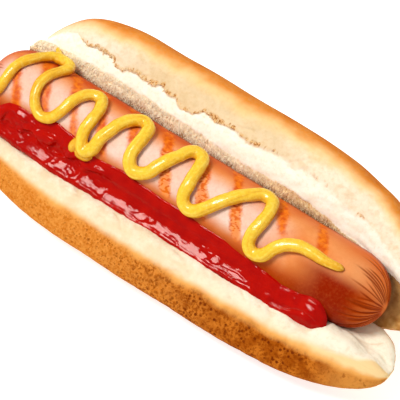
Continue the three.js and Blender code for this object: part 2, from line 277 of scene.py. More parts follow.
def lattice(cell, seed):
    """Three numbers between -1 and 1 for each cell, the same on every run."""
    h = cell[..., 0] * 73856093 ^ cell[..., 1] * 19349663 ^ cell[..., 2] * 83492791 ^ seed * 2654435761
    out = []
    for _ in range(3):
        h = (h ^ (h >> 15)) * 2246822519 & 0xFFFFFFFF
        h = (h ^ (h >> 13)) * 3266489917 & 0xFFFFFFFF
        h = h ^ (h >> 16)
        out.append((h & 0xFFFF) / 32767.5 - 1)
    return np.stack(out, -1)


def noise(points, size, seed=0):
    """Smooth noise between about -1 and 1, with lumps of about this size in millimetres."""
    place = points / size
    cell = np.floor(place).astype(np.int64)
    inside = place - cell
    ease = inside**3 * (inside * (inside * 6 - 15) + 10)
    total = np.zeros(len(points))
    for corner in np.ndindex(2, 2, 2):
        step = np.array(corner)
        slope = lattice(cell + step, seed)
        weight = np.where(step, ease, 1 - ease).prod(-1)
        total += weight * ((inside - step) * slope).sum(-1)
    return total * 1.5


def layered(points, *layers):
    """Layers of noise added up, each given as (height, size, seed)."""
    return sum(height * noise(points, size, seed) for height, size, seed in layers)


def along_only(x):
    """Points that differ only in x, for noise that runs along a form."""
    return np.stack([x, 0 * x, 0 * x], 1)


def pores(points, size, seed=0):
    """Distance to the nearest of scattered points, about 0 at a point and 1 between them."""
    place = points / size
    cell = np.floor(place).astype(np.int64)
    nearest = np.full(len(points), 9.0)
    for corner in np.ndindex(3, 3, 3):
        there = cell + np.array(corner) - 1
        gap = there + 0.5 + 0.45 * lattice(there, seed) - place
        nearest = np.minimum(nearest, (gap**2).sum(-1))
    return np.sqrt(nearest)


# ---- Forms shared with the solids ----


def fullness(distance, length, power):
    """A dome's profile: 0 at its end, and 1 from this length inside it on."""
    inward = np.clip(1 - distance / length, 0, 1)
    return (1 - inward**power) ** (1 / power)


def catmull_rom(points, place, closed):
    """The centripetal Catmull-Rom curve through the points, at places counted in points."""
    points = np.array(points, float)
    count = len(points)
    if not closed:
        first = 2 * points[0] - points[1]
        last = 2 * points[-1] - points[-2]
        points = np.vstack([first, points, last])
        place = np.clip(place, 0, count - 1 - 1e-9) + 1
    near = np.floor(place).astype(int)
    total = len(points)
    p0, p1, p2, p3 = (points[(near + step) % total] for step in (-1, 0, 1, 2))
    gaps = [np.sqrt(np.linalg.norm(b - a, axis=1, keepdims=True)) for a, b in ((p0, p1), (p1, p2), (p2, p3))]
    before, here, after = (np.maximum(gap, 1e-4) for gap in gaps)
    start = ((p1 - p0) / before - (p2 - p0) / (before + here) + (p2 - p1) / here) * here
    end = ((p2 - p1) / here - (p3 - p1) / (here + after) + (p3 - p2) / after) * here
    w = (place - near)[:, None]
    cubic = 2 * p1 - 2 * p2 + start + end
    square = -3 * p1 + 3 * p2 - 2 * start - end
    return p1 + w * start + w**2 * square + w**3 * cubic


def lengths_along(points):
    """How far along a line each of its points is."""
    return np.concatenate([[0], np.cumsum(np.linalg.norm(np.diff(points, axis=0), axis=1))])


def lumps(x, turn, phase):
    """The bread's wide, soft lumps, between -1 and 1."""
    whole = 2 * math.pi
    along = np.sin(whole * (x / BUN_WAVELENGTH + phase))
    along = (along + 0.6 * np.sin(2 * whole * (x / BUN_WAVELENGTH + phase))) / 1.6
    return (along + np.sin(whole * (2 * turn + x / (2 * BUN_WAVELENGTH) + phase))) / 2


def run_round(half, corner):
    """How far round a half's outline a corner number is, in millimetres."""
    steps = np.linspace(0, len(half["outline"]), 601)
    return np.interp(corner, steps, lengths_along(catmull_rom(half["outline"], steps, True)))


def beyond(half, x, corner, line):
    """How far round the outline a point is past a line, in millimetres."""
    return run_round(half, corner) - run_round(half, follow(x, line))


def half_size(half, x):
    """How large a half's section is at x, against its middle."""
    return fullness(x - half["left"], *half["left_dome"]) * fullness(half["right"] - x, *half["right_dome"])


def half_surface(half, x, corner):
    """Points on one half of the bun, in the frame, at x in its drawing and a corner number."""
    point = catmull_rom(half["outline"], corner, True)
    ahead = unit(catmull_rom(half["outline"], corner + 0.001, True) - point)
    scale = half_size(half, x)
    along = (x - half["left"]) / (half["right"] - half["left"])
    core_y, core_z = (a + (b - a) * along for a, b in zip(half["left_core"], half["right_core"]))
    out = BUN_LUMP * lumps(x, corner / len(half["outline"]), half["phase"])
    for middle, reach, height in half["bulges"]:
        out = out + height * hump(x, middle, reach)
    y = core_y + (point[:, 0] + ahead[:, 1] * out - core_y) * scale
    z = core_z + (point[:, 1] - ahead[:, 0] * out - core_z) * scale
    from_x, from_z = LEAN_FROM
    lean = half["lean"] * np.maximum(z - from_z, 0) / (LEAN_RIM - from_z)
    y = y - lean * rise(x, from_x, SAUSAGE["right"])
    return np.stack([x, y, z], 1) + ORIGIN


def sausage_radius(x):
    """The frankfurter's radius at x in its drawing."""
    dome = fullness(x - SAUSAGE["left"], SAUSAGE["left_dome"], SAUSAGE["dome_power"])
    dome = dome * fullness(SAUSAGE["right"] - x, SAUSAGE["right_dome"], SAUSAGE["dome_power"])
    return dome * SAUSAGE["radius"]


def on_sausage(x, degrees, lift=0.0):
    """Points above the frankfurter's skin, at x in its drawing and degrees from its top."""
    turn = np.radians(degrees)
    reach = sausage_radius(x) + lift
    points = [x, -reach * np.sin(turn), SAUSAGE["axis_height"] + reach * np.cos(turn)]
    return np.stack(np.broadcast_arrays(*points), -1) + ORIGIN


# ---- Meshes ----


def make_object(name, points, faces):
    """An object with this mesh, whose points are given in millimetres."""
    mesh = bpy.data.meshes.new(name)
    mesh.from_pydata((np.asarray(points) * MM).tolist(), [], faces)
    mesh.update()
    made = bpy.data.objects.new(name, mesh)
    bpy.context.scene.collection.objects.link(made)
    return made


def read_points(mesh):
    """The mesh's points in millimetres."""
    flat = np.empty(len(mesh.vertices) * 3)
    mesh.vertices.foreach_get("co", flat)
    return flat.reshape(-1, 3) / MM


def write_points(mesh, points):
    """Moves the mesh's points to these, in millimetres."""
    mesh.vertices.foreach_set("co", (points * MM).ravel())
    mesh.update()


def read_normals(mesh):
    """The mesh's direction outwards at each point."""
    flat = np.empty(len(mesh.vertices) * 3)
    mesh.vertex_normals.foreach_get("vector", flat)
    return flat.reshape(-1, 3)


def write_values(mesh, values):
    """Holds values at the mesh's points, by their names, for its material to read."""
    for name, value in values.items():
        layer = mesh.attributes.new(name, "FLOAT", "POINT")
        layer.data.foreach_set("value", np.asarray(value, np.float32))


def box_of(corners):
    """A box's two corners, in millimetres."""
    return (np.array(corner) / MM for corner in corners)


def grid_faces(rows, columns):
    """Quads of a grid whose rows close on themselves."""
    faces = []
    for i in range(rows - 1):
        for j in range(columns):
            k = (j + 1) % columns
            faces.append((i * columns + j, i * columns + k, (i + 1) * columns + k, (i + 1) * columns + j))
    return faces


def capped_faces(rows, columns):
    """The same quads, and a face over the first row and over the last."""
    last = (rows - 1) * columns
    caps = [tuple(range(columns - 1, -1, -1)), tuple(range(last, last + columns))]
    return grid_faces(rows, columns) + caps


def remeshed(source, voxel):
    """Replaces an object's mesh by one even skin round it, with quads of this size."""
    remesh = source.modifiers.new("remesh", "REMESH")
    remesh.mode = "VOXEL"
    remesh.voxel_size = voxel * MM
    seen = source.evaluated_get(bpy.context.evaluated_depsgraph_get())
    mesh = bpy.data.meshes.new_from_object(seen)
    source.modifiers.clear()
    source.data = mesh
    return source


def relaxed(mesh, points, rounds):
    """Points evened out with their neighbours. The step back out keeps the volume."""
    edges = np.empty(len(mesh.edges) * 2, np.int64)
    mesh.edges.foreach_get("vertices", edges)
    a, b = edges.reshape(-1, 2).T
    count = len(points)
    degree = np.bincount(a, minlength=count) + np.bincount(b, minlength=count)

    def near(k):
        return np.bincount(a, points[b, k], count) + np.bincount(b, points[a, k], count)

    for _ in range(rounds):
        for step in (0.5, -0.52):
            total = np.stack([near(k) for k in range(3)], 1)
            points = points + step * (total / degree[:, None] - points)
    return points


def refine(mesh, wanted):
    """Splits the faces all of whose corners are wanted into four."""
    work = bmesh.new()
    work.from_mesh(mesh)
    work.verts.ensure_lookup_table()
    faces = [f for f in work.faces if all(wanted[v.index] for v in f.verts)]
    edges = list({e.index: e for f in faces for e in f.edges}.values())
    bmesh.ops.subdivide_edges(work, edges=edges, cuts=1, use_grid_fill=True)
    bmesh.ops.triangulate(work, faces=[f for f in work.faces if len(f.verts) > 4])
    work.to_mesh(mesh)
    work.free()


def copy_node(node, name):
    """A copy of a CAD node's mesh as a new object."""
    made = bpy.data.objects.new(name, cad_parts[node].data.copy())
    made.data.materials.clear()
    bpy.context.scene.collection.objects.link(made)
    return made


def install(piece, node, material):
    """Makes a piece stand for a CAD node and material."""
    piece.data.materials.clear()
    piece.data.materials.append(material)
    piece.data.polygons.foreach_set("use_smooth", [True] * len(piece.data.polygons))
    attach(piece, BODY)
    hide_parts(node)


# ---- Shader nodes ----


class Value:
    """What a shader node gives out, for sums and products with numbers and with other values."""

    def __init__(self, tree, socket):
        self.tree = tree
        self.socket = socket

    def maths(self, operation, other, clamp=False):
        settings = {"operation": operation, "use_clamp": clamp}
        return node_value(self.tree, "ShaderNodeMath", settings, {0: self, 1: other})

    def __add__(self, other):
        return self.maths("ADD", other)

    def __sub__(self, other):
        return self.maths("SUBTRACT", other)

    def __mul__(self, other):
        return self.maths("MULTIPLY", other)

    def spread(self, low, high, to_low=0, to_high=1):
        """Its range from low to high, eased and set to another range."""
        inputs = {"Value": self, "From Min": low, "From Max": high, "To Min": to_low, "To Max": to_high}
        return node_value(self.tree, "ShaderNodeMapRange", {"interpolation_type": "SMOOTHSTEP"}, inputs)

    def between(self, low, high, first, last):
        """A colour that goes from the first to the last as the value goes from low to high."""
        return coats(first, (self.spread(low, high), last))


def node_value(tree, kind, settings, inputs, output=0):
    """Adds a node and gives what comes out of it. An input is a plain value or another node's."""
    node = tree.nodes.new(kind)
    for name, setting in settings.items():
        setattr(node, name, setting)
    for name, given in inputs.items():
        if isinstance(given, Value):
            tree.links.new(given.socket, node.inputs[name])
        else:
            node.inputs[name].default_value = given
    return Value(tree, node.outputs[output])


def shader_colour(colour):
    """A colour as the shader wants it, from screen values of 0 to 255 or from a node."""
    if isinstance(colour, Value):
        return colour
    values = [c / 255 for c in colour]
    return tuple(c / 12.92 if c <= 0.04045 else ((c + 0.055) / 1.055) ** 2.4 for c in values) + (1.0,)


def coats(colour, *layers):
    """A colour with coats laid over it, each given as (how much of it shows, its colour)."""
    for share, coat in layers:
        inputs = {0: share, 6: shader_colour(colour), 7: shader_colour(coat)}
        colour = node_value(share.tree, "ShaderNodeMix", {"data_type": "RGBA"}, inputs, 2)
    return colour


def bumped(strength, *layers):
    """The surface's direction under layers of fine relief, each as (height, millimetres)."""
    normal = {}
    for height, depth in layers:
        inputs = {"Height": height, "Distance": depth * MM, "Strength": strength, **normal}
        normal = {"Normal": node_value(height.tree, "ShaderNodeBump", {}, inputs)}
    return normal["Normal"]


class Paint:
    """One material, and what the nodes of its colours start from."""

    def __init__(self, name):
        self.material = bpy.data.materials.new(name)
        self.material.use_nodes = True
        self.tree = self.material.node_tree
        self.tree.nodes.clear()

    def held(self, *names):
        """Values that the mesh holds at each point, by their names."""
        kind = "ShaderNodeAttribute"
        return [node_value(self.tree, kind, {"attribute_name": name}, {}, "Fac") for name in names]

    def place(self):
        return node_value(self.tree, "ShaderNodeTexCoord", {}, {}, "Object")

    def grain(self, size, detail=3.0, roughness=0.5, stretch=None):
        """Noise from 0 to 1 with grains of about this size in millimetres, perhaps longer in x."""
        place = self.place()
        if stretch:
            inputs = {"Vector": place, "Scale": (1 / stretch, 1, 1)}
            place = node_value(self.tree, "ShaderNodeMapping", {}, inputs)
        inputs = {"Vector": place, "Scale": 1 / (size * MM), "Detail": detail, "Roughness": roughness}
        return node_value(self.tree, "ShaderNodeTexNoise", {}, inputs, "Fac")

    def speckles(self, size):
        """Distance from scattered points this far apart, in millimetres: 0 at a point."""
        inputs = {"Vector": self.place(), "Scale": 1 / (size * MM)}
        return node_value(self.tree, "ShaderNodeTexVoronoi", {}, inputs, "Distance")

    def pocks(self, size, small, large, clump):
        """1 in small spots this far apart, in millimetres, that come in clumps, and 0 between."""
        return self.speckles(size).spread(large, small) * self.grain(clump, 3).spread(0.4, 0.54)

    def finished(self, colour, softness=None, **inputs):
        """The material with this colour and the shader's other inputs, by name with _ for a space.

        Softness is how much light goes in, and how far its red, green and blue go in millimetres.
        """
        if softness:
            inputs["Subsurface_Weight"], inputs["Subsurface_Radius"] = softness
            inputs["Subsurface_Scale"] = MM
        named = {name.replace("_", " "): value for name, value in inputs.items()}
        named["Base Color"] = colour
        shader = node_value(self.tree, "ShaderNodeBsdfPrincipled", {}, named)
        output = self.tree.nodes.new("ShaderNodeOutputMaterial")
        self.tree.links.new(shader.socket, output.inputs[0])
        return self.material


# ---- Camera and stage ----


def make_camera():
    """The photo's camera: AIM shows at AIM_PIXEL, from far off as a long lens sees it."""
    azimuth, elevation = math.radians(VIEW_AZIMUTH), math.radians(VIEW_ELEVATION)
    back = Vector((math.sin(azimuth), -math.cos(azimuth), math.tan(elevation))).normalized()
    right = Vector((math.cos(azimuth), math.sin(azimuth), 0))
    up = back.cross(right)
    pixel = VIEW_WIDTH / IMAGE_PIXELS
    middle = IMAGE_PIXELS / 2
    target = AIM + right * (middle - AIM_PIXEL[0]) * pixel + up * (AIM_PIXEL[1] - middle) * pixel
    data = bpy.data.cameras.new("camera")
    data.sensor_width = 36
    data.lens = data.sensor_width * CAMERA_DISTANCE / VIEW_WIDTH
    data.clip_start, data.clip_end = 0.1, 100
    camera = bpy.data.objects.new("camera", data)
    camera.location = target + back * CAMERA_DISTANCE
    camera.rotation_mode = "QUATERNION"
    camera.rotation_quaternion = (-back).to_track_quat("-Z", "Y")
    bpy.context.scene.collection.objects.link(camera)
    bpy.context.scene.camera = camera


def area_light(name, place, width, height, watts):
    """A flat light that faces the hot dog."""
    data = bpy.data.lights.new(name, "AREA")
    data.shape = "RECTANGLE"
    data.size, data.size_y = width, height
    data.energy = watts
    light = bpy.data.objects.new(name, data)
    light.location = place
    light.rotation_mode = "QUATERNION"
    light.rotation_quaternion = (Vector(LIT_PLACE) - Vector(place)).to_track_quat("-Z", "Y")
    bpy.context.scene.collection.objects.link(light)
    return light


def make_stage():
    """White surroundings, a softbox, a fill light behind and a floor that shows as white."""
    scene = bpy.context.scene
    scene.view_settings.view_transform = "Standard"
    world = bpy.data.worlds.new("world")
    world.use_nodes = True
    background = world.node_tree.nodes["Background"]
    background.inputs["Color"].default_value = (1, 1, 1, 1)
    background.inputs["Strength"].default_value = WORLD_LIGHT
    scene.world = world
    area_light("softbox", *SOFTBOX)
    area_light("fill", *FILL).visible_glossy = False
    side = FLOOR_SIDE
    corners = [(-side, -side, 0), (side, -side, 0), (side, side, 0), (-side, side, 0)]
    floor = make_object("floor", corners, [(0, 1, 2, 3)])
    glow = {"Emission_Color": (1, 1, 1, 1), "Emission_Strength": FLOOR_GLOW}
    floor.data.materials.append(Paint("floor").finished(FLOOR_GREY, Roughness=0.9, **glow))
    floor.visible_glossy = False


# ---- The bun ----


def drawn_half(half, rows, columns):
    """One half of the bun as a fine grid, with the search tree of its faces."""
    end = 0.002 * (half["right"] - half["left"])
    turn = np.linspace(0, math.pi, rows)
    x = (half["left"] + half["right"]) / 2 - ((half["right"] - half["left"]) / 2 - end) * np.cos(turn)
    corner = np.arange(columns) * len(half["outline"]) / columns
    grid = half_surface(half, np.repeat(x, columns), np.tile(corner, rows))
    tree = BVHTree.FromPolygons(grid.tolist(), grid_faces(rows, columns))
    return {"grid": grid, "tree": tree, "columns": columns, "corners": len(half["outline"])}


def nearest_on(drawn, points):
    """For each point: the nearest place on a drawn half, how far it is, and its corner number."""
    found = [drawn["tree"].find_nearest(p) for p in points.tolist()]
    place, face, away = (np.array([f[k] for f in found]) for k in (0, 2, 3))
    columns = drawn["columns"]
    row, column = face // columns, face % columns
    start = drawn["grid"][row * columns + column]
    step = drawn["grid"][row * columns + (column + 1) % columns] - start
    share = ((place - start) * step).sum(1) / np.maximum((step**2).sum(1), 1e-9)
    corner = (column + np.clip(share, 0, 1)) * drawn["corners"] / columns
    return place, away, corner


def bun_places(halves, points):
    """For each point: whether it is on the heel, its corner number, nearest place and distance."""
    crown, heel = (nearest_on(half, points) for half in halves)
    is_heel = heel[1] < crown[1]
    place = np.where(is_heel[:, None], heel[0], crown[0])
    away, corner = (np.where(is_heel, heel[k], crown[k]) for k in (1, 2))
    return is_heel, corner, place, away


def crease_depth(across, along, line, width):
    """1 in a crease that follows a line, given as (x, millimetres round), and 0 away from it."""
    nearest = np.full(len(across), 99.0)
    for (x0, r0), (x1, r1) in zip(line, line[1:]):
        step = np.array([x1 - x0, r1 - r0])
        share = np.clip(((along - x0) * step[0] + (across - r0) * step[1]) / (step @ step), 0, 1)
        nearest = np.minimum(nearest, np.hypot(along - x0 - share * step[0], across - r0 - share * step[1]))
    return hump(nearest, 0, width)


def crown_zones(points, x, corner):
    """How far each point is below the tear and past the rim, and how much crust and wall it is."""
    ragged = layered(points, (0.8, 6, 1), (0.45, 2.2, 2), (0.2, 1, 3))
    below = beyond(CROWN, x, corner, TEAR_LINE) + ragged
    to_wall = beyond(CROWN, x, corner, RIM_LINE) + layered(points, (0.4, 2.5, 5), (0.25, 0.9, 6))
    inner = corner < INNER_CORNER
    softness = 0.45 + 0.8 * rise(x, -8, 14)
    crust = 1 - rise(below / softness + 0.5 * noise(points, 1.4, 34), -1, 1) * inner
    return below, to_wall, crust, rise(to_wall, -0.6, 0.8) * inner


def tear_relief(points, x, corner, below, crust):
    """The crust's raised lip over the tear and wrinkles above it, how cracked it is, and its edge."""
    deep = np.clip(follow(x, TEAR_DEPTH) * (0.8 + 0.5 * noise(points, 9, 4)), 0, 1.2)
    flaky = sum(size * hump(x, middle, reach) for middle, reach, size in FLAKY_PLACES)
    strokes = np.stack([x, run_round(CROWN, corner) / 2.6, 0 * x], 1)
    crack = rise(noise(strokes, 1, 7), -0.25, 0.3) * hump(below, -0.5, 1.0) * np.clip(flaky, 0, 1)
    wrinkle = rise(1 - np.abs(noise(points, 5.5, 8)), 0.82, 1.0)
    wrinkle = wrinkle * rise(noise(points, 12, 9), -0.1, 0.4) * hump(below, -4, 3.5)
    out = 0.5 * deep * crust * np.exp(np.minimum(below, 0) / 1.6)
    out -= 0.85 * deep * (1 - crust) * np.exp(-np.maximum(below, 0) / 1.7)
    out -= 0.14 * crack + 0.22 * wrinkle
    out += 0.2 * hump(below, -5, 4) * noise(points, 3.2, 10)
    return out, crack, deep * hump(below, -0.5, 1.1)


def crown_relief(points, x, corner):
    """The crown half: crust above the tear, a smooth rim below it and the fuzzy cut wall."""
    below, to_wall, crust, wall = crown_zones(points, x, corner)
    out, crack, edge = tear_relief(points, x, corner, below, crust)
    inner = corner < INNER_CORNER
    rim = inner * (1 - crust) * (1 - wall)
    out += rim * layered(points, (0.26, 4.5, 13), (0.1, 1.6, 14))
    out += 0.1 * inner * hump(to_wall, 0, 0.8) * (1 - crust)
    out += wall * rise(x, 58, 66) * layered(points, (0.5, 4.5, 11), (0.25, 2, 12))
    fibres = np.stack([x / 0.55, run_round(CROWN, corner) / 1.9, 0 * x], 1)
    fuzz = 0.26 * noise(fibres, 1, 15) + 0.16 * noise(points, 0.9, 16) + 0.24 * noise(points, 3.5, 17)
    out += wall * (fuzz - 0.05 + 1.2 * rise(corner, 9.1, 10.1) * fade(x, 50, 58))
    out += inner * 1.1 * rise(corner, 8.9, 9.6) * rise(x, 34, 42) * fade(x, 52, 62)
    # fuzz is also the height that the wall's painted shade follows.
    return out, {"crust": crust, "wall": wall, "crack": crack, "fuzz": wall * fuzz, "edge": edge}


def heel_relief(points, x, corner):
    """The heel half: pitted crumb on top and a porous brown crust below."""
    past = beyond(HEEL, x, corner, CRUST_LINE) + 0.45 * noise(points, 8, 20) + 0.2 * noise(points, 2, 21)
    under = (corner < 2.6) | (corner > 11)
    crust = np.where(under, 1.0, rise(past, -1.5, 1.6))
    line = [(place, run_round(HEEL, number)) for place, number in HEEL_CREASE]
    crease = crease_depth(run_round(HEEL, corner), x, line, 0.5)
    pit = rise(pores(points, 2.6, 22), 0.4, 0.08) * (noise(points, 6, 23) > 0)
    pitted = rise(x, -35, 25) * (1 - 0.9 * rise(x, 50, 66)) + 0.25 * noise(points, 7, 25)
    hole = rise(pores(points, 1.6, 24), 0.52, 0.22) * (noise(points, 2.6, 29) + 0.9 * pitted > 0.4)
    hole = hole * rise(past, 1.5, 3.2)
    furrow = rise(1 - np.abs(noise(points * np.array([0.45, 1, 1]), 4.5, 18)), 0.86, 1.0)
    furrow = furrow * rise(noise(points, 9, 19), 0.0, 0.35)
    soft = layered(points, (0.4, 6, 26), (0.26, 2.4, 27), (0.12, 1.1, 12)) - 0.35 * furrow
    out = (1 - crust) * (soft - 0.12 * pit)
    out += crust * (0.1 * noise(points, 3, 28) - 0.1 * hole) - 0.4 * crease
    pillow = rise(x, 45, 57) * fade(x, 70, 77) * np.sin(math.pi * np.clip((corner - 2.6) / 5, 0, 1))
    tuck = rise(x, 48.5, 53) * fade(x, 60, 69) * hump(corner, 6.4, 0.85)
    out += 2.6 * pillow + 2.3 * tuck
    # pit, crease and low also set the painted shade in the crumb's pits, its crease and its hollows.
    values = {"crust": crust, "hole": crust * hole, "pit": (1 - crust) * pit}
    return out, {**values, "crease": crease, "low": -soft}


def bun_relief(points, is_heel, corner, snug):
    """How far each point of the bun stands out, and the values that its material reads."""
    x = points[:, 0] - ORIGIN[0]
    crown_out, crown_values = crown_relief(points, x, corner)
    heel_out, heel_values = heel_relief(points, x, corner)
    out = np.where(is_heel, heel_out, crown_out) + 0.16 * noise(points, 22, 30) + 0.05 * noise(points, 8, 31)
    values = {"heel": is_heel.astype(float), "corner": corner, "place": x}
    for name in {**crown_values, **heel_values}:
        ours, theirs = crown_values.get(name, 0 * x), heel_values.get(name, 0 * x)
        values[name] = np.where(is_heel, theirs, ours)
    return out * snug, values


def fine_zones(points, is_heel, corner, away, level):
    """Which points of the bun lie where its mesh has to be finer, at the first or second split."""
    x = points[:, 0] - ORIGIN[0]
    if level == 0:
        torn = ~is_heel & (corner > 6.6) & (corner < 10.6)
        browned = is_heel & (corner > 5.8) & (corner < 11.2)
        return (torn | browned) & (away < 1.2)
    near_tear = (np.abs(beyond(CROWN, x, corner, TEAR_LINE)) < 2.0) & (x > -70) & (x < 50)
    on_wall = (beyond(CROWN, x, corner, RIM_LINE) > -0.8) & (corner < 10.4) & (x < 48)
    return ~is_heel & (near_tear | on_wall) & (away < 1.0)


def end_notch(points, is_heel, corner):
    """Draws the crust dome in at the crown's left end, so that the cut slab stands out past it."""
    x = points[:, 0] - ORIGIN[0]
    dome = fade(corner, 7.6, 8.15) * rise(corner, 2.5, 4.5) * ~is_heel
    moved = points.copy()
    moved[:, 0] += NOTCH_DEPTH * dome * fade(x, -77, -65)
    return moved


def make_bun():
    """The bun's mesh, set on the drawn halves and given its relief, and what it holds."""
    bun = remeshed(copy_node("bun", "bun_bread"), BUN_VOXEL)
    mesh = bun.data
    halves = [drawn_half(CROWN, *CROWN_GRID), drawn_half(HEEL, *HEEL_GRID)]
    write_points(mesh, relaxed(mesh, read_points(mesh), 6))
    for level in range(2):
        points = read_points(mesh)
        is_heel, corner, _, away = bun_places(halves, points)
        refine(mesh, fine_zones(points, is_heel, corner, away, level))
        write_points(mesh, relaxed(mesh, read_points(mesh), 3))
    points = read_points(mesh)
    is_heel, corner, place, away = bun_places(halves, points)
    snug = fade(away, *SNUG)
    points = relaxed(mesh, points + (place - points) * snug[:, None], 3)
    points = relaxed(mesh, end_notch(points, is_heel, corner), 2)
    write_points(mesh, points)
    normals = read_normals(mesh)
    out, values = bun_relief(points, is_heel, corner, snug)
    write_points(mesh, np.clip(points + normals * out[:, None], *box_of(cad_box)))
    write_values(mesh, values)
    return bun, {"normals": normals, "snug": snug, **values}


def make_threads(bun, looks):
    """Torn threads of crumb that lie over the cut wall, and flakes along the torn crust."""
    random = np.random.default_rng(7)
    firm = looks["snug"] > 0.8
    on_wall = np.flatnonzero((looks["wall"] > 0.7) & firm & (looks["corner"] < 10.3))
    on_tear = np.flatnonzero((looks["edge"] > 0.45) & firm)
    chosen = [random.choice(on_wall, THREADS["count"], False), random.choice(on_tear, FLAKES["count"], False)]
    chosen = np.concatenate(chosen)
    count = len(chosen)
    is_flake = np.arange(count) >= THREADS["count"]

    def drawn(key):
        flakes, threads = random.uniform(*FLAKES[key], count), random.uniform(*THREADS[key], count)
        return np.where(is_flake, flakes, threads)[:, None]

    base, out = read_points(bun.data)[chosen], looks["normals"][chosen]
    x, corner = looks["place"][chosen], looks["corner"][chosen]
    down = unit(half_surface(CROWN, x, corner + 0.05) - half_surface(CROWN, x, corner))
    swing = random.normal(0, np.where(is_flake, FLAKES["swing"], THREADS["swing"]))[:, None]
    ahead = down * np.cos(swing) + np.cross(out, down) * np.sin(swing)
    across = np.cross(out, ahead)
    length, width = drawn("length"), drawn("width")
    lift = random.uniform(*THREAD_LIFT, count)[:, None]
    rings = []
    for share in np.arange(THREAD_RINGS) / (THREAD_RINGS - 1):
        middle = base + ahead * (length * (share - 0.35)) + out * (lift * share**1.5 - 0.05)
        half = width * (1 - 0.85 * share**1.5) / 2
        thick = width * 0.32 * (1 - 0.7 * share)
        rings.append(np.stack([middle - across * half, middle + out * thick, middle + across * half], 1))
    each = THREAD_RINGS * 3
    faces = []
    for start in range(0, count * each, each):
        faces += [[start + k for k in face] for face in capped_faces(THREAD_RINGS, 3)]
    made = make_object("bread_threads", np.stack(rings, 1).reshape(-1, 3), faces)
    values = {"flake": is_flake.astype(float), "shade": random.uniform(0, 1, count), "place": x}
    write_values(made.data, {name: np.repeat(value, each) for name, value in values.items()})
    return made


def crumb_colour(paint, fine):
    """Soft crumb: nearly white on the crown's rim, creamier on the open heel's left half, with painted shade
    in the heel's hollows.
    """
    place, corner, low, heel = paint.held("place", "corner", "low", "heel")
    blotch = paint.grain(4, 5, 0.65)
    opened = coats(
        blotch.between(0.36, 0.64, (250, 236, 208), (234, 212, 174)),
        (place.spread(-10, 30), (252, 240, 214)),
        (corner.spread(7.4, 8.5, 0, 0.5), (236, 216, 176)),
        # Painted shade: tan in the hollows of the heel's crumb.
        (low.spread(0, 0.5, 0, 0.55), (232, 204, 160)),
    )
    rim = blotch.between(0.3, 0.7, (255, 250, 232), (252, 242, 218))
    return coats(rim, (heel, opened), (fine.spread(0.45, 0.75, 0, 0.35), (232, 206, 166)))


def wall_colour(paint):
    """Fuzzy crumb, browner towards the frankfurter's free end: the hollows between the pale threads are tan
    as painted shade, and its foot by the frankfurter is a painted brown shadow.
    """
    place, corner, fuzz = paint.held("place", "corner", "fuzz")
    height = fuzz + paint.grain(0.5, 3) * 0.7
    lower = corner + paint.grain(0.9, 3) * 0.6
    specks = paint.speckles(0.9).spread(0.5, 0.2) * paint.grain(1.6, 2).spread(0.42, 0.54)
    return coats(
        # Tan in the hollows and pale on the threads' tops: painted shade.
        place.between(2, 18, (236, 204, 150), (214, 162, 92)),
        (height.spread(0.02, 0.4), place.between(2, 18, (252, 242, 208), (252, 230, 176))),
        # Specks, heavier towards the wall's foot, where they add to a painted shadow.
        (specks * lower.spread(9.6, 10.1, 0.1, 0.7), (184, 124, 62)),
        # Painted shadow: dark brown along the wall's foot by the frankfurter.
        (lower.spread(9.75, 10.35, 0, 0.7), place.between(0, 24, (164, 98, 42), (132, 68, 22))),
        (place.spread(58, 66), paint.grain(3.5, 4).between(0.35, 0.65, (228, 178, 108), (190, 132, 66))),
    )


def crown_colour(paint, height, fine):
    """Crust that is cream near the tear and browns over the top and down the back."""
    place, edge, crack = paint.held("place", "edge", "crack")
    blotch = paint.grain(7, 4)
    colour = coats(
        (246, 230, 204),
        (place.spread(-58, -34), blotch.between(0.35, 0.65, (238, 212, 170), (228, 200, 154))),
        (place.spread(2, 28), (251, 233, 204)),
        (paint.grain(2.6, 3).spread(0.45, 0.7, 0, 0.45), (226, 196, 146)),
    )
    back = blotch.between(0.3, 0.7, (206, 108, 28), (220, 132, 48))
    back = coats(back, (height.spread(3.4, 1.4), (232, 170, 90)))
    for lower, low, high in (((250, 204, 138), 6.6, 7.4), ((236, 144, 54), 6.1, 6.9), (back, 5.6, 6.5)):
        colour = coats(lower, (height.spread(low, high), colour))
    return coats(
        colour,
        (place.spread(-60, -74, 0, 0.7) * height.spread(5.4, 6.7), (248, 228, 192)),
        (fine.spread(0.4, 0.8, 0, 0.3), (214, 170, 112)),
        (edge.spread(0.1, 0.8, 0, 0.6), place.between(4, 30, (222, 184, 132), (246, 222, 180))),
        (height.spread(12.6, 13.3), (226, 158, 80)),
        (crack.spread(0.05, 0.5, 0, 0.65), (228, 172, 98)),
        # Painted shadow: dark gaps between the flakes in the cracks.
        (paint.grain(0.7, 3).spread(0.46, 0.58, 0, 0.9) * crack.spread(0.1, 0.5), (160, 92, 26)),
    )


